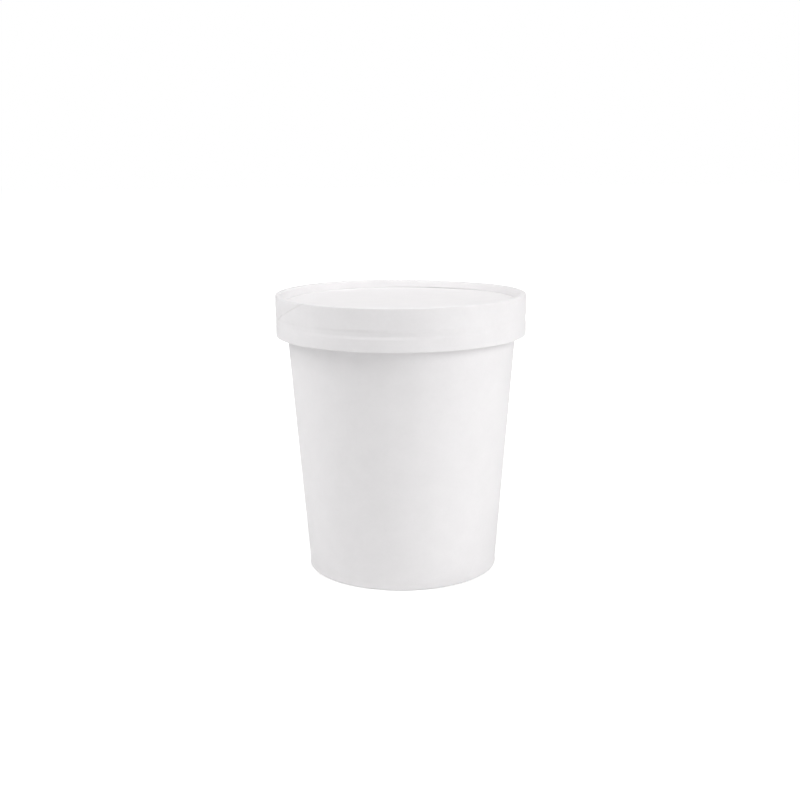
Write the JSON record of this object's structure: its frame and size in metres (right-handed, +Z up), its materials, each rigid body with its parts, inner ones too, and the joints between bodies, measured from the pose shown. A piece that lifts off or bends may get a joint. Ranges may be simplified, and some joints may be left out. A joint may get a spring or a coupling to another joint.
{
  "type": "paper ice cream cup",
  "caption": "Tapered round paper ice cream cup, shut with a flat paper lid that has a raised rim, a recessed disc and a deep skirt; it stands on a hollow foot.",
  "frame": {"origin": "centre of the foot's plane, on the surface that the cup stands on", "axes": "+Z up along the cup's axis, -Y towards the front, +X to the right seen from the front"},
  "size_m": [0.12, 0.12, 0.134],
  "materials": {
    "coated_board": "white paperboard with a satin coating",
    "base_board": "white paperboard, faintly warm, matt",
    "lid_board": "white paperboard wound in plies, satin",
    "disc_board": "white paperboard, matt"
  },
  "bodies": {
    "root": {"cup_body": "coated_board", "base_disc": "base_board", "lid_band": "lid_board", "lid_disc": "disc_board"}
  },
  "joints": []
}
